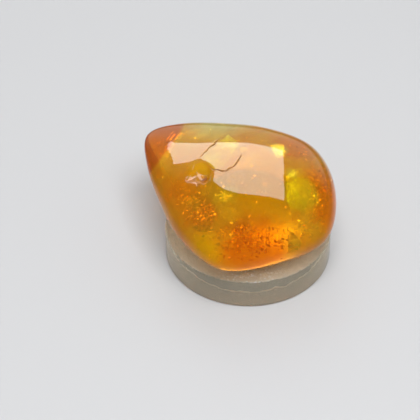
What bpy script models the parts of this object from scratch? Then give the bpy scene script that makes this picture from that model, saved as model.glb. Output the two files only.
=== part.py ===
"""A tumbled amber pebble resting on a clear ring stand, for Blender 4.5. Metres, +Z up.

The pebble is one piece of polished amber: a pear outline with a domed top and a shallower belly, and a
shallow chip near its nose. The stand is a short length of thick clear tube. The pebble's belly sits in the
mouth of the ring's bore, with the pebble tipped a little towards -Y, the side it is seen from.

The frame's origin is the bottom centre of the whole object's box.
"""

import math

import bmesh
import bpy
import numpy as np
from mathutils import Euler, Matrix, Vector
from mathutils.bvhtree import BVHTree

MM = 0.001

# Driving dimensions of the ring stand, in metres
RING_RADIUS = 12.5 * MM
RING_HEIGHT = 5.0 * MM
BORE_RADIUS = 7.0 * MM
SEAT_WIDTH = 0.9 * MM  # the slope around the bore's mouth that the belly rests over
SEAT_DROP = 0.5 * MM
RIM_ROUND = 0.25 * MM  # the broken edges of the two flat faces
ROUND_STEPS = 3
RING_STEPS = 72

# Driving dimensions of the amber, in metres and degrees
GIRDLE = {  # compass angle: distance from the pebble's middle to its edge
    0: 13.7 * MM,
    35: 13.4 * MM,
    70: 12.3 * MM,
    100: 13.4 * MM,
    124: 16.5 * MM,
    141: 18.7 * MM,
    158: 15.7 * MM,
    185: 12.7 * MM,
    220: 12.5 * MM,
    255: 14.2 * MM,
    290: 13.2 * MM,
    325: 14.7 * MM,
}
CROWN_RADIUS = 13.8 * MM  # the outline rounds off to a circle of this size towards the crown and the belly
NOSE_ANGLE = 141
DOME_HEIGHT = 6.0 * MM  # above the girdle, in the middle
BELLY_DEPTH = 5.2 * MM  # below the girdle, in the middle
FULLNESS = 0.85  # 1 is an ellipsoid, and less is a flatter crown with fuller shoulders
NOSE_THINNING = 0.3  # share of its thickness that the pebble loses on the way to its nose
THINNING_REACH = 15.0 * MM
GIRDLE_STEPS = 24  # points between two compass angles
PEBBLE_CUTS = 24  # cuts across each side of the cube that the pebble is rounded from

# The chip: a shallow hollow that the polish didn't reach the bottom of
CHIP_PLACE = Vector((-6.75 * MM, -0.6 * MM))  # in the pebble's own plan
CHIP_RADIUS = 2.0 * MM
CHIP_DEPTH = 0.4 * MM

# How the pebble rests on the ring
PEBBLE_OFFSET = Vector((-0.75 * MM, 0.2 * MM))  # of its middle from the bore's axis
PEBBLE_TILT = math.radians(8)  # its -Y side is the lower one
SEAT_GAP = 0.3 * MM  # between the belly and the ring


def clear_scene():
    for obj in list(bpy.data.objects):
        bpy.data.objects.remove(obj)


def material(name, colour, roughness, transmission, ior):
    """A clear, polished material of one colour."""
    made = bpy.data.materials.new(name)
    made.use_nodes = True
    shader = made.node_tree.nodes["Principled BSDF"]
    shader.inputs["Base Color"].default_value = (*colour, 1)
    shader.inputs["Roughness"].default_value = roughness
    shader.inputs["Metallic"].default_value = 0
    shader.inputs["Transmission Weight"].default_value = transmission
    shader.inputs["IOR"].default_value = ior
    return made


def add_object(name, bm, finish, collection):
    mesh = bpy.data.meshes.new(name)
    bm.to_mesh(mesh)
    bm.free()
    mesh.materials.append(finish)
    obj = bpy.data.objects.new(name, mesh)
    collection.objects.link(obj)
    return obj


def girdle_outline():
    """(angles, radii) of the pebble's edge in plan: one smooth closed curve through the GIRDLE points."""
    corners = [
        Vector((radius * math.cos(math.radians(angle)), radius * math.sin(math.radians(angle))))
        for angle, radius in GIRDLE.items()
    ]
    points = []
    for i, start in enumerate(corners):
        before, end, after = corners[i - 1], corners[(i + 1) % len(corners)], corners[(i + 2) % len(corners)]
        leave = start + (end - before) / 6
        arrive = end - (after - start) / 6
        for step in range(GIRDLE_STEPS):
            t = step / GIRDLE_STEPS
            points.append(
                (1 - t) ** 3 * start
                + 3 * (1 - t) ** 2 * t * leave
                + 3 * (1 - t) * t**2 * arrive
                + t**3 * end
            )
    angles = [math.atan2(p.y, p.x) for p in points]
    order = sorted(range(len(points)), key=lambda i: angles[i])
    return [angles[i] for i in order], [points[i].length for i in order]


def chip_depth(x, y):
    """How far the chip lowers the dome at this place in plan."""
    away = (Vector((x, y)) - CHIP_PLACE).length / CHIP_RADIUS
    return CHIP_DEPTH * (1 - away * away) ** 2 if away < 1 else 0


def pebble_point(direction, angles, radii):
    """Where the pebble's surface is in this direction from its middle."""
    lift = math.asin(max(-1, min(1, direction.z)))
    angle = math.atan2(direction.y, direction.x)
    girdle = float(np.interp(angle, angles, radii, period=math.tau))
    spread = (girdle + (CROWN_RADIUS - girdle) * math.sin(lift) ** 2) * math.cos(lift) ** FULLNESS
    x, y = spread * math.cos(angle), spread * math.sin(angle)
    nose = math.radians(NOSE_ANGLE)
    towards_nose = (x * math.cos(nose) + y * math.sin(nose)) / THINNING_REACH
    thickness = DOME_HEIGHT if direction.z > 0 else BELLY_DEPTH
    height = thickness * (1 - NOSE_THINNING * max(-1, towards_nose)) * math.sin(lift)
    if direction.z > 0:
        height -= chip_depth(x, y)
    return Vector((x, y, height))


def make_pebble(collection):
    """The amber: a finely divided cube, rounded to a ball and drawn out to the pear outline."""
    angles, radii = girdle_outline()
    bm = bmesh.new()
    bmesh.ops.create_cube(bm, size=2)
    bmesh.ops.subdivide_edges(bm, edges=bm.edges[:], cuts=PEBBLE_CUTS, use_grid_fill=True)
    for vertex in bm.verts:
        # The tangent spreads the cube's squares evenly over the ball.
        ball = Vector([math.tan(c * math.pi / 4) for c in vertex.co]).normalized()
        vertex.co = pebble_point(ball, angles, radii)
    amber = material("amber", (0.86, 0.42, 0.04), 0.05, 0.9, 1.54)
    pebble = add_object("amber", bm, amber, collection)
    pebble.data.shade_smooth()
    pebble.rotation_euler = Euler((PEBBLE_TILT, 0, 0))
    pebble.location = (*PEBBLE_OFFSET, resting_height(pebble))
    return pebble


def seat_points():
    """Points along the upper and lower edge of the seat's slope, which the belly comes nearest to."""
    edges = (
        (BORE_RADIUS + SEAT_WIDTH, RING_HEIGHT),
        (BORE_RADIUS, RING_HEIGHT - SEAT_DROP),
    )
    for radius, height in edges:
        for step in range(RING_STEPS):
            turn = math.tau * step / RING_STEPS
            yield Vector((radius * math.cos(turn), radius * math.sin(turn), height))


def resting_height(pebble):
    """The height of the pebble's middle at which its belly is SEAT_GAP above the nearest point of the seat."""
    tilted = Matrix.Translation((*PEBBLE_OFFSET, 0)) @ pebble.rotation_euler.to_matrix().to_4x4()
    bm = bmesh.new()
    bm.from_mesh(pebble.data)
    bm.transform(tilted)
    surface = BVHTree.FromBMesh(bm)
    bm.free()
    heights = []
    for point in seat_points():
        start = Vector((point.x, point.y, -BELLY_DEPTH * 4))
        belly = surface.ray_cast(start, Vector((0, 0, 1)))[0]
        heights.append(point.z + SEAT_GAP - belly.z)
    return max(heights)


def rounded_corner(radius, height, turn_from):
    """The points of a quarter round inside the corner at this radius and height, clockwise in the X-Z plane."""
    middle = {
        90: (radius - RIM_ROUND, height - RIM_ROUND),
        0: (radius - RIM_ROUND, height + RIM_ROUND),
    }[turn_from]
    for step in range(ROUND_STEPS + 1):
        turn = math.radians(turn_from - 90 * step / ROUND_STEPS)
        yield middle[0] + RIM_ROUND * math.cos(turn), middle[1] + RIM_ROUND * math.sin(turn)


def ring_profile():
    """The ring's cut section as (radius, height), down the outside, in along the base and up the bore."""
    yield from rounded_corner(RING_RADIUS, RING_HEIGHT, 90)
    yield from rounded_corner(RING_RADIUS, 0, 0)
    yield BORE_RADIUS + RIM_ROUND, 0
    yield BORE_RADIUS, RIM_ROUND
    yield BORE_RADIUS, RING_HEIGHT - SEAT_DROP
    yield BORE_RADIUS + SEAT_WIDTH, RING_HEIGHT


def make_ring(collection):
    """The stand: a thick clear ring, turned from its section."""
    bm = bmesh.new()
    section = [bm.verts.new((radius, 0, height)) for radius, height in ring_profile()]
    for i, vertex in enumerate(section):
        bm.edges.new((vertex, section[(i + 1) % len(section)]))
    clear = material("clear_resin", (0.93, 0.93, 0.90), 0.15, 0.95, 1.49)
    ring = add_object("ring_stand", bm, clear, collection)
    turn = ring.modifiers.new("turn", "SCREW")
    turn.angle = math.tau
    turn.steps = turn.render_steps = RING_STEPS
    turn.use_merge_vertices = True
    turn.merge_threshold = 0.01 * MM
    turn.use_smooth_shade = True
    return ring


def centre_on_box(objects, collection):
    """Hangs the objects from an empty that puts the bottom centre of their common box at the origin."""
    bpy.context.view_layer.update()
    graph = bpy.context.evaluated_depsgraph_get()
    corners = []
    for obj in objects:
        evaluated = obj.evaluated_get(graph)
        mesh = evaluated.to_mesh()
        corners += [evaluated.matrix_world @ vertex.co for vertex in mesh.vertices]
        evaluated.to_mesh_clear()
    low = Vector([min(c[axis] for c in corners) for axis in range(3)])
    high = Vector([max(c[axis] for c in corners) for axis in range(3)])
    frame = bpy.data.objects.new("amber_on_ring", None)
    collection.objects.link(frame)
    frame.location = (-(low.x + high.x) / 2, -(low.y + high.y) / 2, -low.z)
    for obj in objects:
        obj.parent = frame


def main():
    clear_scene()
    collection = bpy.data.collections.new("tumbled_amber")
    bpy.context.scene.collection.children.link(collection)
    ring = make_ring(collection)
    pebble = make_pebble(collection)
    centre_on_box([ring, pebble], collection)
    bpy.context.view_layer.update()


main()
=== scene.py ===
"""The looks of a tumbled amber pebble on its clear ring stand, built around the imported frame.

The sections follow the object as it is put together: the ring, the amber's skin with its chip and cracks,
what the amber holds inside, and then the floor, the light and the camera. Lengths are metres, in the frame's
axes.
"""

import math

import bpy
import numpy as np
from mathutils import Euler, Matrix, Vector


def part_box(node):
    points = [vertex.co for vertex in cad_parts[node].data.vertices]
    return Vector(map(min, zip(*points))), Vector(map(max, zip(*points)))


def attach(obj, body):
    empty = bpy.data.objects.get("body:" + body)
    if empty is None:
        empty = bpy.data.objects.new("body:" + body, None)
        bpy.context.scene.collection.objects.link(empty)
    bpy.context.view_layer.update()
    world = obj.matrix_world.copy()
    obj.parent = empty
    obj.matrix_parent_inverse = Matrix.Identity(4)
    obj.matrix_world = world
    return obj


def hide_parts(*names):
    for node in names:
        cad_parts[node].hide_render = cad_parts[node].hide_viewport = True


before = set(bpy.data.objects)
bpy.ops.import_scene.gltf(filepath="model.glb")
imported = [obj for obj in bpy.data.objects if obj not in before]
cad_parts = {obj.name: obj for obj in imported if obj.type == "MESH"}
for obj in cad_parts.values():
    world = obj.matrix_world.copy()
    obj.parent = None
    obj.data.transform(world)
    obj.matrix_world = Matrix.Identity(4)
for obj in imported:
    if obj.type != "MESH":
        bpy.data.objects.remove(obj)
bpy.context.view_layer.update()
MM = 0.001

# The ring stand
# A short ring of cast resin, a little milky. Its outer wall is polished and its flat faces are finely ground,
# with a slightly ragged edge where the grinding met the wall.
ring_low, ring_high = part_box("ring_stand")
RING_RADIUS = (ring_high.x - ring_low.x) / 2
RING_HEIGHT = ring_high.z
RING_CENTRE = Vector((ring_low.x + RING_RADIUS, ring_low.y + RING_RADIUS, 0))
BORE_RADIUS = 7.0 * MM
SEAT_WIDTH = 0.9 * MM
SEAT_DROP = 0.5 * MM
RIM_ROUND = 0.25 * MM
RAGGED = 0.035 * MM  # how far the upper rim's points stray
RING_SIDES = 288
RESIN_IOR = 1.49
RESIN_TINT = (0.95, 0.9, 0.7)
RESIN_DENSITY = 25


def keep_selected(piece, part, test):
    """Leaves edit mode's selection on the faces, edges or vertices of the piece that pass the test."""
    bpy.ops.object.mode_set(mode="EDIT")
    bpy.ops.mesh.select_mode(type=part)
    bpy.ops.mesh.select_all(action="DESELECT")
    bpy.ops.object.mode_set(mode="OBJECT")
    chosen = {"FACE": piece.data.polygons, "EDGE": piece.data.edges, "VERT": piece.data.vertices}[part]
    for item in chosen:
        item.select = test(item)
    bpy.ops.object.mode_set(mode="EDIT")


def from_axis(point):
    return math.hypot(point.x - RING_CENTRE.x, point.y - RING_CENTRE.y)


def edge_on(radius, height):
    """A test for the ring's edges that run round it at this radius and height."""
    near = 0.02 * MM

    def test(edge):
        ends = [ring.data.vertices[i].co for i in edge.vertices]
        return all(abs(from_axis(p) - radius) < near and abs(p.z - height) < near for p in ends)

    return test


bpy.ops.object.select_all(action="DESELECT")
bpy.ops.mesh.primitive_cylinder_add(
    vertices=RING_SIDES,
    radius=RING_RADIUS,
    depth=RING_HEIGHT,
    location=RING_CENTRE + Vector((0, 0, RING_HEIGHT / 2)),
)
ring = bpy.context.object
ring.name = ring.data.name = "ring_body"
bpy.ops.object.transform_apply(location=True)
keep_selected(ring, "FACE", lambda face: face.normal.z > 0.9)
bpy.ops.mesh.inset(thickness=RING_RADIUS - BORE_RADIUS - SEAT_WIDTH)
bpy.ops.mesh.inset(thickness=SEAT_WIDTH, depth=-SEAT_DROP)
keep_selected(ring, "FACE", lambda face: face.normal.z < -0.9)
bpy.ops.mesh.inset(thickness=RING_RADIUS - BORE_RADIUS)
keep_selected(ring, "FACE", lambda face: from_axis(face.center) < 1 * MM)
bpy.ops.mesh.bridge_edge_loops()
for radius, height in ((RING_RADIUS, RING_HEIGHT), (RING_RADIUS, 0), (BORE_RADIUS, 0)):
    keep_selected(ring, "EDGE", edge_on(radius, height))
    bpy.ops.mesh.bevel(offset=RIM_ROUND, segments=4)


def on_upper_rim(vertex):
    high = vertex.co.z > RING_HEIGHT - RIM_ROUND * 0.95
    return high and from_axis(vertex.co) > RING_RADIUS - RIM_ROUND * 1.1


keep_selected(ring, "VERT", on_upper_rim)
bpy.ops.transform.vertex_random(offset=RAGGED, seed=3)
bpy.ops.object.mode_set(mode="OBJECT")
bpy.ops.object.shade_smooth_by_angle(angle=math.radians(40))


def new_material(name):
    """(material, its node tree, its Principled shader)"""
    made = bpy.data.materials.new(name)
    made.use_nodes = True
    return made, made.node_tree, made.node_tree.nodes["Principled BSDF"]


def add_node(tree, kind, **settings):
    node = tree.nodes.new("ShaderNode" + kind)
    for name, value in settings.items():
        setattr(node, name, value)
    return node


def group_of(name, inputs, outputs):
    """An empty node group with float and vector sockets, and its input and output nodes."""
    kinds = {"f": "NodeSocketFloat", "v": "NodeSocketVector"}
    tree = bpy.data.node_groups.new(name, "ShaderNodeTree")
    for label, kind in inputs:
        tree.interface.new_socket(label, in_out="INPUT", socket_type=kinds[kind])
    for label, kind in outputs:
        tree.interface.new_socket(label, in_out="OUTPUT", socket_type=kinds[kind])
    return tree, tree.nodes.new("NodeGroupInput"), tree.nodes.new("NodeGroupOutput")


def set_inputs(node, **values):
    for name, value in values.items():
        node.inputs[name.replace("_", " ")].default_value = value
    return node


# Fine grain, for everything that was ground and not polished: it gives a height for a Bump node.
grain, grain_in, grain_out = group_of(
    "fine_grain",
    [("Vector", "v"), ("Scale", "f"), ("Strength", "f")],
    [("Height", "f")],
)
coarse = add_node(grain, "TexNoise")
fine = add_node(grain, "TexVoronoi")
mixed = add_node(grain, "Math", operation="ADD")
scaled = add_node(grain, "Math", operation="MULTIPLY")
for texture in (coarse, fine):
    grain.links.new(grain_in.outputs["Vector"], texture.inputs["Vector"])
    grain.links.new(grain_in.outputs["Scale"], texture.inputs["Scale"])
grain.links.new(coarse.outputs[0], mixed.inputs[0])
grain.links.new(fine.outputs["Distance"], mixed.inputs[1])
grain.links.new(mixed.outputs[0], scaled.inputs[0])
grain.links.new(grain_in.outputs["Strength"], scaled.inputs[1])
grain.links.new(scaled.outputs[0], grain_out.inputs["Height"])


def use_group(tree, group, **values):
    node = tree.nodes.new("ShaderNodeGroup")
    node.node_tree = group
    return set_inputs(node, **values)


def ramp(tree, source, low, high, to_low, to_high):
    """A value that goes from to_low to to_high as the source goes from low to high."""
    node = add_node(tree, "MapRange")
    node.inputs["From Min"].default_value = low
    node.inputs["From Max"].default_value = high
    node.inputs["To Min"].default_value = to_low
    node.inputs["To Max"].default_value = to_high
    tree.links.new(source, node.inputs["Value"])
    return node.outputs["Result"]


def mix_colours(tree, factor, first, second):
    """The colour between two, each a colour or a socket."""
    node = add_node(tree, "Mix", data_type="RGBA")
    tree.links.new(factor, node.inputs["Factor"])
    for socket, colour in ((node.inputs[6], first), (node.inputs[7], second)):
        if isinstance(colour, tuple):
            socket.default_value = (*colour, 1)
        else:
            tree.links.new(colour, socket)
    return node.outputs[2]


def absorb(tree, colour, density):
    """Fills the piece with a plain tint."""
    tint = set_inputs(add_node(tree, "VolumeAbsorption"), Color=(*colour, 1), Density=density)
    tree.links.new(tint.outputs["Volume"], tree.nodes["Material Output"].inputs["Volume"])


# A patch of colour: 1 inside a ball round a place, fading out over its soft edge, with the edge broken up by
# noise.
patch, patch_in, patch_out = group_of(
    "colour_patch",
    [("Vector", "v"), ("Centre", "v"), ("Radius", "f"), ("Soft", "f"), ("Ragged", "f")],
    [("Mask", "f")],
)
away = add_node(patch, "VectorMath", operation="DISTANCE")
patch.links.new(patch_in.outputs["Vector"], away.inputs[0])
patch.links.new(patch_in.outputs["Centre"], away.inputs[1])
cloud = set_inputs(add_node(patch, "TexNoise"), Scale=420, Detail=4, Roughness=0.6)
patch.links.new(patch_in.outputs["Vector"], cloud.inputs["Vector"])
wander = add_node(patch, "Math", operation="SUBTRACT")
patch.links.new(cloud.outputs[0], wander.inputs[0])
wander.inputs[1].default_value = 0.5
spread = add_node(patch, "Math", operation="MULTIPLY")
patch.links.new(wander.outputs[0], spread.inputs[0])
patch.links.new(patch_in.outputs["Ragged"], spread.inputs[1])
edge = add_node(patch, "Math", operation="ADD")
patch.links.new(away.outputs["Value"], edge.inputs[0])
patch.links.new(spread.outputs[0], edge.inputs[1])
inner = add_node(patch, "Math", operation="SUBTRACT")
patch.links.new(patch_in.outputs["Radius"], inner.inputs[0])
patch.links.new(edge.outputs[0], inner.inputs[1])
share = add_node(patch, "Math", operation="DIVIDE", use_clamp=True)
patch.links.new(inner.outputs[0], share.inputs[0])
patch.links.new(patch_in.outputs["Soft"], share.inputs[1])
patch.links.new(share.outputs[0], patch_out.inputs["Mask"])

polished_wall, tree, resin = new_material("polished_wall")
set_inputs(resin, Base_Color=(1.0, 0.91, 0.7, 1), Roughness=0.06, IOR=RESIN_IOR, Transmission_Weight=0.76)
absorb(tree, RESIN_TINT, RESIN_DENSITY)
ring.data.materials.append(polished_wall)


def ground_resin(name, through, dark, light):
    """The same resin where it was ground: frosted, with white specks painted along the front of the rim as
    glints.
    """
    made, tree, resin = new_material(name)
    place = add_node(tree, "TexCoord").outputs["Object"]
    set_inputs(resin, IOR=RESIN_IOR, Transmission_Weight=through)
    worn = set_inputs(add_node(tree, "TexNoise"), Scale=500, Detail=3)
    tree.links.new(place, worn.inputs["Vector"])
    tree.links.new(ramp(tree, worn.outputs[0], 0.3, 0.7, 0.32, 0.5), resin.inputs["Roughness"])
    base = mix_colours(tree, ramp(tree, worn.outputs[0], 0.35, 0.65, 0, 1), dark, light)
    frosting = use_group(tree, grain, Scale=4200, Strength=1)
    tree.links.new(place, frosting.inputs["Vector"])
    relief = set_inputs(add_node(tree, "Bump"), Strength=0.8, Distance=0.09 * MM)
    tree.links.new(frosting.outputs["Height"], relief.inputs["Height"])
    tree.links.new(relief.outputs["Normal"], resin.inputs["Normal"])
    # Painted glints: white specks in a patch at the front of the rim, where the ground grains catch the
    # light.
    front = RING_CENTRE + Vector((0, -12.0 * MM, RING_HEIGHT))
    glint_patch = use_group(tree, patch, Centre=front, Radius=6 * MM, Soft=4 * MM, Ragged=2 * MM)
    tree.links.new(place, glint_patch.inputs["Vector"])
    glint_noise = set_inputs(add_node(tree, "TexNoise"), Scale=3300, Detail=2)
    tree.links.new(place, glint_noise.inputs["Vector"])
    painted_glints = add_node(tree, "Math", operation="MULTIPLY")
    tree.links.new(ramp(tree, glint_noise.outputs[0], 0.56, 0.66, 0, 1), painted_glints.inputs[0])
    tree.links.new(glint_patch.outputs["Mask"], painted_glints.inputs[1])
    glinting = mix_colours(tree, painted_glints.outputs[0], base, (1.0, 1.0, 0.97))
    tree.links.new(glinting, resin.inputs["Base Color"])
    absorb(tree, RESIN_TINT, RESIN_DENSITY)
    return made


# One resin painted as lit and shaded copies: the top darker as the amber's painted shade on it, the base
# light and warm as painted amber-coloured light, the bore near black as painted shade inside the ring's hole.
GROUND_FACES = (  # name, how see-through it is, its darker and its lighter colour
    ("shaded_ground_top", 0.6, (0.64, 0.55, 0.4), (0.78, 0.68, 0.52)),
    ("amber_lit_ground_base", 0.85, (1.0, 0.86, 0.62), (1.0, 0.9, 0.7)),
    ("shaded_bore", 0.3, (0.12, 0.11, 0.09), (0.18, 0.16, 0.13)),
)
for looks in GROUND_FACES:
    ring.data.materials.append(ground_resin(*looks))
WALL, TOP, BASE, BORE = range(4)  # the order of the ring's materials
for face in ring.data.polygons:
    if abs(face.normal.z) > 0.5:
        face.material_index = TOP if face.normal.z > 0 else BASE
    elif from_axis(face.center) < BORE_RADIUS + SEAT_WIDTH:
        face.material_index = BORE
    else:
        face.material_index = WALL
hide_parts("ring_stand")
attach(ring, "root")

# The amber
# One pebble of fossil resin, tumbled until its upper side shone. Its belly kept a satin face. It is clear
# right through, golden where it is thin and orange where it is thick or full of small cracks.
bpy.ops.object.select_all(action="DESELECT")
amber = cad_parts["amber"].copy()
amber.data = amber.data.copy()
amber.name = amber.data.name = "amber_body"
amber.parent = None
# The copy is a piece of its own, without the frame's labels.
for key in list(amber.keys()):
    del amber[key]
bpy.context.scene.collection.objects.link(amber)
amber.data.materials.clear()
bpy.context.view_layer.objects.active = amber
amber.select_set(True)
bpy.ops.object.mode_set(mode="EDIT")
bpy.ops.mesh.select_all(action="SELECT")
bpy.ops.mesh.remove_doubles(threshold=0.002 * MM)
bpy.ops.mesh.tris_convert_to_quads(face_threshold=math.pi, shape_threshold=math.pi)
bpy.ops.object.mode_set(mode="OBJECT")
soften = amber.modifiers.new("soften", "SUBSURF")
soften.levels = soften.render_levels = 2
bpy.ops.object.modifier_apply(modifier="soften")

TILT = math.radians(8)  # the pebble tips forward
GIRDLE_HEIGHT = 10.1 * MM  # of the widest part, along the pebble's own upward axis
GOLDEN = (1.0, 0.62, 0.02)
HONEY = (0.98, 0.46, 0.01)
AMBER_IOR = 1.54
AMBER_TINT = (0.99, 0.84, 0.0)
AMBER_DENSITY = 110
POLISHED = 0.015  # roughness of the upper side, and of the belly
SATIN = 0.26
PATCHES = (  # place in millimetres, radius, soft edge, raggedness, colour
    ((3.0, -5.3, 16.6), 7.0, 4.0, 3.0, (1.0, 0.53, 0.004)),  # orange in the middle
    ((-8.5, -3.3, 14.6), 4.5, 3.0, 3.0, (0.95, 0.36, 0.006)),
    ((-21.9, 13.9, 14.3), 14.0, 0.5, 1.0, (0.86, 0.25, 0.005)),  # the nose, thick with fine cracks
    ((-5.5, -8.0, 13.8), 3.2, 2.0, 4.0, (0.88, 0.34, 0.01)),
    ((2.0, -12.3, 11.5), 5.8, 2.5, 4.0, (0.88, 0.23, 0.0)),
    ((12.5, -3.4, 13.1), 5.9, 2.5, 4.0, (1.0, 0.35, 0.0)),
    ((8.0, 4.0, 16.3), 3.6, 1.5, 3.0, (0.92, 0.36, 0.01)),
    ((-2.5, 11.7, 14.1), 6.5, 3.5, 2.0, (1.0, 0.92, 0.25)),  # the thin back edge
    ((-2.0, -5.8, 15.6), 2.2, 1.5, 3.0, (1.0, 0.7, 0.02)),
    ((-5.5, -12.4, 10.8), 3.4, 2.0, 2.0, (1.0, 0.66, 0.0)),
    ((8.7, -5.2, 15.6), 3.1, 0.8, 2.0, (0.97, 0.68, 0.01)),  # a clear window, a little green
    ((-5.3, -1.7, 15.8), 0.95, 0.5, 1.5, (0.62, 0.2, 0.005)),  # painted shade in the chip's hollow
    ((5.6, 2.9, 17.2), 1.7, 1.0, 1.5, (1.0, 0.9, 0.1)),  # painted glow: yellow under two sheets near the skin, so that the light they reflect shows yellow
    ((7.5, -1.9, 17.0), 1.3, 0.8, 1.5, (1.0, 0.85, 0.05)),
)
amber_resin, tree, resin = new_material("amber_resin")
place = add_node(tree, "TexCoord").outputs["Object"]
swirl = set_inputs(add_node(tree, "TexNoise"), Scale=220, Detail=5, Roughness=0.6, Distortion=0.8)
tree.links.new(place, swirl.inputs["Vector"])
colour = mix_colours(tree, ramp(tree, swirl.outputs[0], 0.35, 0.65, 0, 1), HONEY, GOLDEN)
for centre, radius, soft, ragged, tint in PATCHES:
    spot = use_group(
        tree,
        patch,
        Centre=[c * MM for c in centre],
        Radius=radius * MM,
        Soft=soft * MM,
        Ragged=ragged * MM,
    )
    tree.links.new(place, spot.inputs["Vector"])
    colour = mix_colours(tree, spot.outputs["Mask"], colour, tint)
mottle = set_inputs(add_node(tree, "TexNoise"), Scale=700, Detail=3, Roughness=0.6, Distortion=1.5)
tree.links.new(place, mottle.inputs["Vector"])
shaded = add_node(tree, "Mix", data_type="RGBA", blend_type="MULTIPLY")
shaded.inputs["Factor"].default_value = 1
tree.links.new(colour, shaded.inputs[6])
clouding = ramp(tree, mottle.outputs[0], 0.35, 0.55, 0, 1)
tree.links.new(mix_colours(tree, clouding, (0.98, 0.9, 0.8), (1, 1, 1)), shaded.inputs[7])
tree.links.new(shaded.outputs[2], resin.inputs["Base Color"])
set_inputs(resin, IOR=AMBER_IOR, Transmission_Weight=0.72)
up = add_node(tree, "VectorMath", operation="DOT_PRODUCT")
tree.links.new(place, up.inputs[0])
up.inputs[1].default_value = (0, -math.sin(TILT), math.cos(TILT))
tree.links.new(
    ramp(tree, up.outputs["Value"], GIRDLE_HEIGHT - 2 * MM, GIRDLE_HEIGHT - 0.5 * MM, SATIN, POLISHED),
    resin.inputs["Roughness"],
)
absorb(tree, AMBER_TINT, AMBER_DENSITY)
amber.data.materials.append(amber_resin)


def on_skin(x, y):
    """(point, normal) of the amber's upper skin over this place in plan, in metres."""
    _, point, normal, _ = amber.ray_cast(Vector((x, y, 1)), Vector((0, 0, -1)))
    return point, normal


def carve(body, cutter):
    """Takes the cutter's shape out of the body, with the cutter's material on the cut."""
    cut = body.modifiers.new("cut", "BOOLEAN")
    cut.operation = "DIFFERENCE"
    cut.solver = "EXACT"
    cut.material_mode = "TRANSFER"
    cut.object = cutter
    bpy.context.view_layer.objects.active = body
    bpy.ops.object.modifier_apply(modifier="cut")
    bpy.data.objects.remove(cutter)


# The chip: flakes came off after tumbling, and left a few small shell-shaped hollows in one another.
# Each is the place in plan, the radius of the ball that it is part of, its depth, how far the ball is drawn
# out, its turn in degrees and how wavy it is.
SCOOPS = (
    ((-7.0, -1.3), 2.4, 0.22, (1.4, 0.8, 1.0), 35, 0.14),
    ((-5.4, -1.4), 1.6, 0.32, (0.9, 1.3, 1.0), -20, 0.12),
    ((-5.9, 0.4), 2.2, 0.16, (0.8, 1.3, 1.0), 15, 0.12),
    ((-5.0, 0.1), 1.2, 0.12, (1.4, 0.7, 1.0), -35, 0.1),
    ((-6.1, -2.9), 1.0, 0.08, (0.6, 1.6, 1.0), 10, 0.06),
)
waves = bpy.data.textures.new("chip_waves", "CLOUDS")
waves.noise_scale = 0.7 * MM
for (x, y), radius, depth, drawn, turn, wave in SCOOPS:
    point, normal = on_skin(x * MM, y * MM)
    bpy.ops.object.select_all(action="DESELECT")
    bpy.ops.mesh.primitive_ico_sphere_add(subdivisions=5, radius=radius * MM)
    ball = bpy.context.object
    ball.scale = drawn
    ball.rotation_euler.z = math.radians(turn)
    ball.location = point + normal * (radius - depth) * MM
    bpy.ops.object.transform_apply(location=True, rotation=True, scale=True)
    ripple = ball.modifiers.new("ripple", "DISPLACE")
    ripple.texture = waves
    ripple.texture_coords = "LOCAL"
    ripple.strength = wave * MM
    bpy.ops.object.modifier_apply(modifier="ripple")
    ball.data.materials.append(amber_resin)
    carve(amber, ball)

# The two surface cracks: ragged and dull inside, painted dark brown as the shade in them.
dull_crack, tree, resin = new_material("dull_crack")
set_inputs(resin, Base_Color=(0.42, 0.2, 0.03, 1), Roughness=0.55, IOR=AMBER_IOR, Transmission_Weight=0.3)
absorb(tree, AMBER_TINT, AMBER_DENSITY)
CRACKS = {  # points in plan, in millimetres, with the crack's half width there
    "long": (
        ((-2.9, 6.4), 0.03), ((-3.5, 5.7), 0.1), ((-3.6, 5.2), 0.16), ((-4.1, 4.7), 0.1),
        ((-4.6, 4.3), 0.07), ((-4.8, 3.6), 0.1), ((-5.3, 3.3), 0.07), ((-5.5, 2.8), 0.11),
        ((-5.9, 2.5), 0.05),
    ),
    "curved": (
        ((-4.3, -0.3), 0.05), ((-3.8, -0.8), 0.09), ((-3.3, -0.7), 0.07), ((-2.7, -1.2), 0.11),
        ((-2.1, -1.3), 0.08), ((-1.5, -0.8), 0.09), ((-0.9, -0.5), 0.06), ((-0.4, 0.4), 0.05),
        ((-0.1, 1.0), 0.07), ((0.2, 1.9), 0.03),
    ),
}
for name, plan in CRACKS.items():
    line = bpy.data.curves.new("crack_" + name, "CURVE")
    line.dimensions = "3D"
    line.bevel_depth = 1
    line.bevel_resolution = 1
    line.use_fill_caps = True
    path = line.splines.new("POLY")
    path.points.add(len(plan) - 1)
    for spot, ((x, y), half_width) in zip(path.points, plan):
        spot.co = (*on_skin(x * MM, y * MM)[0], 1)
        spot.radius = half_width * MM
    groove = bpy.data.objects.new("crack_" + name, line)
    bpy.context.scene.collection.objects.link(groove)
    bpy.ops.object.select_all(action="DESELECT")
    groove.select_set(True)
    bpy.context.view_layer.objects.active = groove
    bpy.ops.object.convert(target="MESH")
    bpy.ops.object.mode_set(mode="EDIT")
    bpy.ops.mesh.select_all(action="SELECT")
    bpy.ops.mesh.remove_doubles(threshold=0.001 * MM)
    bpy.ops.mesh.normals_make_consistent(inside=False)
    bpy.ops.object.mode_set(mode="OBJECT")
    groove.data.materials.append(dull_crack)
    carve(amber, groove)
bpy.ops.object.select_all(action="DESELECT")
amber.select_set(True)
bpy.context.view_layer.objects.active = amber
bpy.ops.object.shade_smooth_by_angle(angle=math.radians(28))
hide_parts("amber")
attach(amber, "root")

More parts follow.
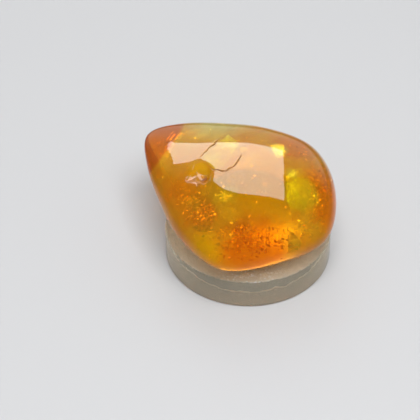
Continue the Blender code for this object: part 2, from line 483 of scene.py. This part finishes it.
# The sun spangles
# Small round stress cracks inside the amber. Each is a thin dished gap that throws light back like gold
# leaf, so they show as glints and short strokes, in clusters. About half lie as the pebble's own layers do.
bpy.ops.object.select_all(action="DESELECT")
bpy.ops.mesh.primitive_uv_sphere_add(segments=8, ring_count=4, radius=1)
flake = bpy.context.object
flake.scale = (1, 1, 0.05)
bpy.ops.object.transform_apply(scale=True)
flake_points = np.array([v.co for v in flake.data.vertices])
flake_points[:, 2] += 0.12 * (flake_points[:, 0] ** 2 + flake_points[:, 1] ** 2)
flake_faces = [list(face.vertices) for face in flake.data.polygons]
bpy.data.objects.remove(flake)

CLUSTERS = (  # centre, half width, count, radius of the flakes from and to, all in millimetres
    ((-5.6, -7.8, 13.4), (2.4, 2.6, 1.7), 170, 0.12, 0.42),
    ((-8.8, -3.1, 13.4), (1.0, 1.7, 1.0), 50, 0.06, 0.26),
    ((1.6, -11.0, 11.8), (6.0, 1.8, 2.0), 420, 0.1, 0.38),
    ((11.2, -2.4, 13.5), (2.0, 4.6, 1.6), 260, 0.08, 0.38),
    ((10.3, -7.8, 12.2), (2.2, 2.0, 2.0), 150, 0.08, 0.34),
    ((8.5, 4.8, 15.5), (2.0, 1.8, 0.7), 34, 0.06, 0.26),
    ((-2.2, -5.5, 15.2), (1.0, 0.6, 0.2), 30, 0.08, 0.3),
    ((-11.4, 7.9, 13.3), (1.6, 2.6, 0.9), 70, 0.05, 0.18),
    ((0.0, 0.2, 12.0), (14.0, 12.0, 4.5), 300, 0.05, 0.24),
    ((-2.6, -10.8, 13.1), (0.3, 0.3, 0.2), 12, 0.12, 0.35),
    ((-2.1, -5.6, 15.3), (0.9, 0.5, 0.2), 36, 0.1, 0.3),
    ((3.6, -5.4, 16.1), (0.6, 0.3, 0.15), 12, 0.08, 0.2),
    ((11.0, -7.1, 13.0), (0.8, 0.8, 0.5), 30, 0.12, 0.4),
    ((12.0, -2.6, 13.4), (1.3, 4.2, 0.7), 150, 0.1, 0.32),
    ((10.6, -7.6, 12.9), (1.9, 1.6, 0.7), 90, 0.1, 0.32),
    ((-7.6, -4.6, 14.0), (1.2, 2.0, 0.6), 60, 0.08, 0.26),
    ((9.8, 3.6, 15.0), (1.6, 1.6, 0.5), 40, 0.08, 0.26),
)
STROKES = (0.8, 0.4, 0.16, 0.09)  # a flake's width as a share of its length
ALONG_LAYERS = 0.55  # the share of the flakes that lie as the layers do
LAYER_SCATTER = 0.1
LAYERS_FACE = Vector((-0.16, -0.07, 1))
SKIN_SHARE = 0.54  # how much the layers follow the skin
FLAKE_MARGIN = 0.3 * MM
SCRATCHES = (  # by the nose: the way they run in plan, how many, half length in millimetres
    ((0.5, 0.87), 9, 1.2),
    ((0.52, -0.85), 8, 0.5),
)
SCRATCH_PLACE = (-9.4, 8.4)
SCRATCH_BREADTH = 1.4
dice = np.random.default_rng(11)


def lie_at(spot):
    """The way that the pebble's layers face below the skin here, chosen so that they catch the window."""
    _, normal = on_skin(spot.x, spot.y)
    return (LAYERS_FACE + SKIN_SHARE * normal).normalized()


def inside_amber(point, margin):
    _, nearest, normal, _ = amber.closest_point_on_mesh(point)
    return (point - nearest).dot(normal) < 0 and (point - nearest).length > margin


def spot_in(centre, half_width, margin):
    """A random place round this part of the amber, at least the margin under its skin."""
    while True:
        offset = dice.normal(size=3) * 0.55
        point = Vector(centre) + Vector(offset * half_width)
        if inside_amber(point * MM, margin):
            return point * MM


def scatter(name, points, faces, places):
    """One mesh of a copy of the small shape at each (place, turn, scale)."""
    all_points, all_faces = [], []
    for spot, turn, scale in places:
        start = len(all_points) * len(points)
        all_points.append((points * scale) @ np.array(turn).T + np.array(spot))
        all_faces += [[start + i for i in face] for face in faces]
    mesh = bpy.data.meshes.new(name)
    mesh.from_pydata(np.concatenate(all_points).tolist(), [], all_faces)
    piece = bpy.data.objects.new(name, mesh)
    bpy.context.scene.collection.objects.link(piece)
    mesh.shade_smooth()
    return piece


def any_turn():
    return Euler(dice.uniform(0, math.tau, 3)).to_matrix()


def tipped_to(direction):
    return Vector((0, 0, 1)).rotation_difference(direction).to_matrix()


def turn_along_layers(spot, scatter_angle):
    tips = (dice.normal(0, scatter_angle), dice.normal(0, scatter_angle))
    spin = Euler((*tips, dice.uniform(0, math.tau)))
    return tipped_to(lie_at(spot)) @ spin.to_matrix()


spangles = []
for centre, half_width, count, smallest, largest in CLUSTERS:
    for _ in range(count):
        stroke = dice.choice(STROKES)
        size = dice.uniform(smallest, largest) * (1 if stroke > 0.3 else 1.5) * MM
        spot = spot_in(centre, half_width, FLAKE_MARGIN)
        turn = turn_along_layers(spot, LAYER_SCATTER) if dice.random() < ALONG_LAYERS else any_turn()
        spangles.append((spot, turn, np.array([size, size * stroke, size])))
for (run_x, run_y), count, length in SCRATCHES:
    lie = Matrix(((run_x, -run_y, 0), (run_y, run_x, 0), (0, 0, 1)))
    for step in range(count):
        x = SCRATCH_PLACE[0] - SCRATCH_BREADTH * run_y * step / count + dice.normal(0, 0.15)
        y = SCRATCH_PLACE[1] + SCRATCH_BREADTH * run_x * step / count + dice.normal(0, 0.3)
        point, normal = on_skin(x * MM, y * MM)
        spot = point - normal * 0.35 * MM
        size = length * dice.uniform(0.6, 1.1) * MM
        spangles.append((spot, tipped_to(lie_at(point)) @ lie, np.array([size, 0.08 * MM, 0.3 * MM])))
gold_flakes = scatter("sun_spangles", flake_points, flake_faces, spangles)
gold_leaf, tree, leaf = new_material("sun_spangle")
place = add_node(tree, "TexCoord").outputs["Object"]
lustre = set_inputs(add_node(tree, "TexNoise"), Scale=900, Detail=1)
tree.links.new(place, lustre.inputs["Vector"])
shine = ramp(tree, lustre.outputs[0], 0.4, 0.6, 0, 1)
tree.links.new(mix_colours(tree, shine, (1.0, 0.72, 0.3), (1.0, 0.95, 0.7)), leaf.inputs["Base Color"])
set_inputs(leaf, Metallic=1, Roughness=0.06)
gold_flakes.data.materials.append(gold_leaf)
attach(gold_flakes, "root")

# Veils: fainter, wider cracks of the same kind, so thin that only part of each one shows.
bpy.ops.object.select_all(action="DESELECT")
bpy.ops.mesh.primitive_uv_sphere_add(segments=12, ring_count=4, radius=1)
disc = bpy.context.object
disc.scale = (1, 1, 0.015)
bpy.ops.object.transform_apply(scale=True)
disc_points = np.array([v.co for v in disc.data.vertices])
disc_points[:, 2] += 0.06 * (disc_points[:, 0] ** 2 + disc_points[:, 1] ** 2)
disc_faces = [list(face.vertices) for face in disc.data.polygons]
bpy.data.objects.remove(disc)
VEILS = 90
VEIL_SPREAD = ((0.5, -1.5, 12.5), (13.0, 12.0, 3.0))  # centre and half width, in millimetres
veils = []
for _ in range(VEILS):
    size = dice.uniform(0.5, 1.7) * MM
    spot = spot_in(*VEIL_SPREAD, 0.5 * MM)
    turn = turn_along_layers(spot, 0.3)
    veils.append((spot, turn, np.array([size, size * dice.uniform(0.4, 1), size])))
faint_cracks = scatter("veils", disc_points, disc_faces, veils)
veil, tree, air = new_material("veil")
place = add_node(tree, "TexCoord").outputs["Object"]
contact = set_inputs(add_node(tree, "TexNoise"), Scale=1300, Detail=3, Distortion=2)
tree.links.new(place, contact.inputs["Vector"])
tree.links.new(ramp(tree, contact.outputs[0], 0.45, 0.62, 0.0, 0.16), air.inputs["Alpha"])
set_inputs(air, Base_Color=(1.0, 0.85, 0.4, 1), Metallic=1, Roughness=0.25)
faint_cracks.data.materials.append(veil)
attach(faint_cracks, "root")

# The fracture sheets
# Larger, flatter cracks that run under the skin. Each is a thin film of air, patchy where its two faces
# touch, and it shows as a pale, golden or dark plane with a sharp outline.
SHEETS = {  # colour, how much of it reflects, metallic, and its corners in millimetres
    "green_window": (
        (0.85, 1.0, 0.1), 0.2, 1,
        (
            (6.7, -1.7, 15.5), (7.7, -0.5, 15.7), (8.9, 0.0, 15.8), (10.0, -1.6, 15.6),
            (10.3, -4.0, 15.3), (9.8, -6.6, 14.9), (9.3, -7.5, 14.8), (7.4, -8.2, 14.6),
            (6.7, -6.0, 15.0),
        ),
    ),
    "leaf": (
        (1.0, 0.85, 0.4), 0.6, 0.5,
        (
            (6.8, -9.7, 12.9), (7.9, -9.8, 12.0), (8.8, -9.9, 10.6), (8.3, -10.1, 9.5),
            (6.8, -10.8, 9.7),
        ),
    ),
    "pale_plane": (
        (0.6, 1.0, 0.8), 0.12, 1,
        (
            (-1.6, 7.2, 16.3), (0.0, 4.7, 16.5), (-1.4, 1.6, 16.3), (-2.6, -0.2, 16.0),
            (-3.9, 0.0, 15.8), (-5.6, 3.1, 15.7), (-3.9, 5.2, 15.9),
        ),
    ),
    "nose_edge": (
        (1.0, 0.85, 0.5), 0.14, 1,
        (
            (-8.3, 11.2, 14.6), (-7.5, 10.1, 14.8), (-9.8, 6.6, 14.3), (-10.6, 4.5, 13.9),
            (-11.8, 2.5, 13.6), (-11.8, 5.2, 13.8), (-10.8, 7.1, 14.1),
        ),
    ),
    "corner_glow": (
        (1.0, 1.0, 0.25), 0.35, 1,
        (
            (4.5, 4.1, 16.7), (5.5, 4.7, 16.7), (6.6, 4.5, 16.7), (6.6, 1.5, 16.8),
            (5.5, 1.3, 16.7),
        ),
    ),
    "golden_plane": (
        (1.0, 0.75, 0.2), 0.07, 1,
        (
            (5.0, -9.1, 12.2), (6.7, -8.8, 12.4), (6.8, -10.7, 11.8), (5.7, -11.1, 11.6),
        ),
    ),
    "flame": (
        (1.0, 0.85, 0.3), 0.6, 1,
        (
            (6.5, -2.8, 16.2), (7.4, -1.6, 16.4), (8.6, -1.1, 16.3), (7.5, -2.4, 16.3),
        ),
    ),
    "back_streak": (
        (1.0, 0.95, 0.5), 0.25, 1,
        (
            (-4.2, 10.2, 15.1), (-4.0, 8.7, 15.5), (-4.3, 7.4, 15.4), (-4.5, 9.0, 15.3),
        ),
    ),
    "back_glow": (
        (1.0, 0.95, 0.6), 0.05, 1,
        (
            (-8.2, 9.7, 14.7), (-6.0, 10.8, 14.8), (-3.9, 10.3, 15.2), (-4.7, 7.5, 15.2),
            (-7.3, 7.2, 14.9),
        ),
    ),
    "low_glow": (
        (1.0, 0.8, 0.1), 0.14, 1,
        (
            (-6.0, -9.7, 10.8), (-4.6, -10.1, 11.2), (-3.9, -11.5, 10.9), (-5.2, -12.1, 10.3),
            (-6.0, -11.0, 10.5),
        ),
    ),
    "chip_glow": (
        (1.0, 0.85, 0.2), 0.05, 1,
        (
            (-8.2, 3.1, 14.7), (-6.3, 2.6, 15.1), (-5.9, 1.0, 14.9), (-7.2, 0.3, 14.4),
            (-8.4, 1.5, 14.5),
        ),
    ),
    "middle_glow": (
        (1.0, 0.8, 0.1), 0.09, 1,
        (
            (-2.9, -6.6, 14.3), (-1.1, -7.2, 14.5), (0.8, -9.1, 14.4), (-1.2, -9.5, 14.0),
            (-3.0, -8.1, 14.0),
        ),
    ),
    "dark_lens": (
        (0.3, 0.13, 0.01), 0.35, 0,
        (
            (-7.0, -8.6, 12.2), (-5.8, -8.5, 12.6), (-4.5, -9.0, 12.9), (-3.5, -9.9, 12.9),
            (-4.7, -10.0, 12.5), (-6.0, -9.6, 12.3),
        ),
    ),
    "arc": (
        (1.0, 0.9, 0.5), 0.35, 1,
        (
            (-6.3, -9.9, 12.0), (-5.1, -10.3, 12.3), (-3.8, -10.5, 12.6), (-3.3, -10.5, 12.7),
            (-3.8, -10.7, 12.5), (-5.1, -10.4, 12.2),
        ),
    ),
    "specks_glow": (
        (1.0, 0.85, 0.2), 0.12, 1,
        (
            (-3.3, -5.1, 15.2), (-2.3, -5.0, 15.4), (-1.1, -5.9, 15.5), (-1.7, -6.7, 15.3),
            (-3.0, -6.5, 15.1),
        ),
    ),
    "peak": (
        (0.7, 1.0, 0.9), 0.14, 1,
        (
            (-1.6, 7.3, 16.4), (0.0, 5.0, 16.6), (-0.9, 3.1, 16.4), (-2.5, 5.6, 16.2),
        ),
    ),
}
SHEET_THICKNESS = 0.02 * MM
for name, (colour, cover, metal, corners) in SHEETS.items():
    bpy.ops.object.select_all(action="DESELECT")
    bpy.ops.mesh.primitive_circle_add(vertices=len(corners), fill_type="NGON")
    sheet = bpy.context.object
    sheet.name = sheet.data.name = name
    for corner, spot in zip(sheet.data.vertices, corners):
        corner.co = Vector(spot) * MM
    bpy.ops.object.mode_set(mode="EDIT")
    bpy.ops.mesh.select_all(action="SELECT")
    bpy.ops.mesh.quads_convert_to_tris()
    bpy.ops.mesh.subdivide(number_cuts=5)
    bpy.ops.transform.vertex_random(offset=SHEET_THICKNESS, seed=len(name))
    bpy.ops.mesh.normals_make_consistent(inside=False)
    bpy.ops.object.mode_set(mode="OBJECT")
    thin = sheet.modifiers.new("thin", "SOLIDIFY")
    thin.thickness = SHEET_THICKNESS
    thin.offset = 0
    bpy.ops.object.modifier_apply(modifier="thin")
    film, tree, air = new_material(name)
    place = add_node(tree, "TexCoord").outputs["Object"]
    contact = set_inputs(add_node(tree, "TexNoise"), Scale=900, Detail=3, Distortion=1)
    tree.links.new(place, contact.inputs["Vector"])
    patchy = ramp(tree, contact.outputs[0], 0.35, 0.62, cover * 0.5, cover * 1.3)
    tree.links.new(patchy, air.inputs["Alpha"])
    duller = tuple(c * 0.85 for c in colour)
    tree.links.new(mix_colours(tree, contact.outputs[0], duller, colour), air.inputs["Base Color"])
    set_inputs(air, Roughness=0.25, Metallic=metal)
    sheet.data.materials.append(film)
    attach(sheet, "root")

# The floor
# A plain pale board, a hair below the ring's base. Reflections show it dark beyond a short reach, so that the
# pebble's underside doesn't turn white.
BOARD_COLOUR = (0.635, 0.635, 0.64)
REACH_CENTRE = (0, 30 * MM, 0)
bpy.ops.object.select_all(action="DESELECT")
bpy.ops.mesh.primitive_plane_add(size=4, location=(0, 0, -0.05 * MM))
floor = bpy.context.object
floor.name = "floor"
board, tree, paint = new_material("pale_board")
set_inputs(paint, Roughness=0.7)
reach = add_node(tree, "VectorMath", operation="DISTANCE")
tree.links.new(add_node(tree, "TexCoord").outputs["Object"], reach.inputs[0])
reach.inputs[1].default_value = REACH_CENTRE
far = ramp(tree, reach.outputs["Value"], 30 * MM, 55 * MM, 0, 0.88)
gloss_only = add_node(tree, "Math", operation="MULTIPLY")
tree.links.new(far, gloss_only.inputs[0])
tree.links.new(add_node(tree, "LightPath").outputs["Is Glossy Ray"], gloss_only.inputs[1])
darkened = mix_colours(tree, gloss_only.outputs[0], BOARD_COLOUR, (0, 0, 0))
tree.links.new(darkened, paint.inputs["Base Color"])
# A painted glow: the board emits light below the ring, standing in for light that the ring gathers there, and
# only what is seen through clear things shows it.
UNDER_BORE, UNDER_RING, OUTSIDE = 0.12, 0.45, 0.1
out = add_node(tree, "VectorMath", operation="DISTANCE")
tree.links.new(add_node(tree, "TexCoord").outputs["Object"], out.inputs[0])
out.inputs[1].default_value = RING_CENTRE
ring_only = add_node(tree, "Math", operation="MULTIPLY")
under = ramp(tree, out.outputs["Value"], BORE_RADIUS, BORE_RADIUS + 2 * MM, UNDER_BORE, UNDER_RING)
tree.links.new(under, ring_only.inputs[0])
rim = ramp(tree, out.outputs["Value"], RING_RADIUS - 0.3 * MM, RING_RADIUS, 1, OUTSIDE)
tree.links.new(rim, ring_only.inputs[1])
painted_ring_glow = add_node(tree, "Math", operation="MULTIPLY")
tree.links.new(ring_only.outputs[0], painted_ring_glow.inputs[0])
tree.links.new(add_node(tree, "LightPath").outputs["Is Transmission Ray"], painted_ring_glow.inputs[1])
tree.links.new(painted_ring_glow.outputs[0], paint.inputs["Emission Strength"])
paint.inputs["Emission Color"].default_value = (1, 1, 1, 1)
floor.data.materials.append(board)

# The light
# A window high behind the pebble, whose shape shows in the dome, and the dim light of the room.
WINDOW_HEIGHT = 0.35
WINDOW_CORNERS = (  # across and back, per unit of height
    (0.3, 0.11),
    (0.24, 0.62),
    (0.25, 0.97),
    (0.31, 1.42),
    (0.03, 1.48),
    (-0.38, 1.71),
    (-0.64, 1.5),
    (-0.9, 1.29),
    (-1.02, 1.17),
    (-0.7, 1.14),
    (-0.51, 1.15),
    (-0.39, 0.92),
    (-0.44, 0.86),
    (-0.41, 0.73),
    (-0.31, 0.53),
    (-0.18, 0.42),
)
WINDOW_STRENGTH = 5.1
BRIGHT_PANES = (  # across and back, radius, how much brighter it is
    ((-0.24, 1.45), 0.13, 0.8),
    ((-0.28, 1.13), 0.15, 0.2),
)
ROOM_PLAIN, ROOM_THROUGH = 0.47, 1.4  # strength of the room's light, and of what is seen through clear things
OVERHEAD_PLACE = Vector((0.05, -0.2, 0.48))
bpy.ops.object.select_all(action="DESELECT")
bpy.ops.mesh.primitive_circle_add(vertices=len(WINDOW_CORNERS), fill_type="NGON")
window = bpy.context.object
window.name = "window"
for corner, (across, back) in zip(window.data.vertices, WINDOW_CORNERS):
    corner.co = Vector((across, back, 1)) * WINDOW_HEIGHT
daylight, tree, _ = new_material("daylight")
glow = set_inputs(add_node(tree, "Emission"), Color=(1, 0.99, 0.98, 1))
place = add_node(tree, "TexCoord").outputs["Object"]
brightness = None
for (across, back), radius, extra in BRIGHT_PANES:
    middle = Vector((across, back, 1)) * WINDOW_HEIGHT
    pane = use_group(tree, patch, Centre=middle, Radius=radius * WINDOW_HEIGHT)
    set_inputs(pane, Soft=0.08 * WINDOW_HEIGHT, Ragged=0)
    tree.links.new(place, pane.inputs["Vector"])
    more = add_node(tree, "Math", operation="MULTIPLY_ADD")
    tree.links.new(pane.outputs["Mask"], more.inputs[0])
    more.inputs[1].default_value = extra
    more.inputs[2].default_value = WINDOW_STRENGTH
    if brightness:
        tree.links.new(brightness, more.inputs[2])
    brightness = more.outputs[0]
tree.links.new(brightness, glow.inputs["Strength"])
tree.links.new(glow.outputs[0], tree.nodes["Material Output"].inputs["Surface"])
window.data.materials.append(daylight)
window.visible_diffuse = False
window.visible_shadow = False
room = bpy.data.worlds.new("room")
room.use_nodes = True
sky = room.node_tree.nodes["Background"]
sky.inputs["Color"].default_value = (0.97, 0.98, 1, 1)
path = add_node(room.node_tree, "LightPath")
toward = add_node(room.node_tree, "SeparateXYZ")
room.node_tree.links.new(add_node(room.node_tree, "TexCoord").outputs["Generated"], toward.inputs[0])
# Reflections see a dark room with a bright wall at the back.
wall = ramp(room.node_tree, toward.outputs["Y"], 0.55, 0.85, 0.08, 0.8)
strength = add_node(room.node_tree, "Mix")
room.node_tree.links.new(path.outputs["Is Glossy Ray"], strength.inputs["Factor"])
through = ramp(room.node_tree, path.outputs["Is Transmission Ray"], 0, 1, ROOM_PLAIN, ROOM_THROUGH)
room.node_tree.links.new(through, strength.inputs["A"])
room.node_tree.links.new(wall, strength.inputs["B"])
room.node_tree.links.new(strength.outputs["Result"], sky.inputs["Strength"])
overhead = bpy.data.lights.new("overhead", "AREA")
overhead.size = 0.3
overhead.energy = 2.1
overhead.color = (0.98, 0.99, 1)
ceiling = bpy.data.objects.new("overhead", overhead)
ceiling.location = OVERHEAD_PLACE
ceiling.rotation_euler = OVERHEAD_PLACE.to_track_quat("Z", "Y").to_euler()
ceiling.visible_glossy = False
bpy.context.scene.collection.objects.link(ceiling)
bpy.context.scene.world = room

# The camera
# It looks down at the pebble's front from 42 degrees, with a long lens, as the photograph does.
ELEVATION = math.radians(42)
DISTANCE = 0.302
LENS = 169.7
AIM = RING_CENTRE + Vector((-5.75, 3.96, 4.4)) * MM
view = bpy.data.cameras.new("camera")
view.lens = LENS
view.clip_start = 0.01
camera = bpy.data.objects.new("camera", view)
back = Vector((0, -math.cos(ELEVATION), math.sin(ELEVATION)))
camera.location = AIM + back * DISTANCE
camera.rotation_euler = back.to_track_quat("Z", "Y").to_euler()
bpy.context.scene.collection.objects.link(camera)
scene = bpy.context.scene
scene.camera = camera
scene.view_settings.view_transform = "Standard"
scene.cycles.max_bounces = 24
scene.cycles.transmission_bounces = 24
scene.cycles.glossy_bounces = 12
scene.cycles.transparent_max_bounces = 32
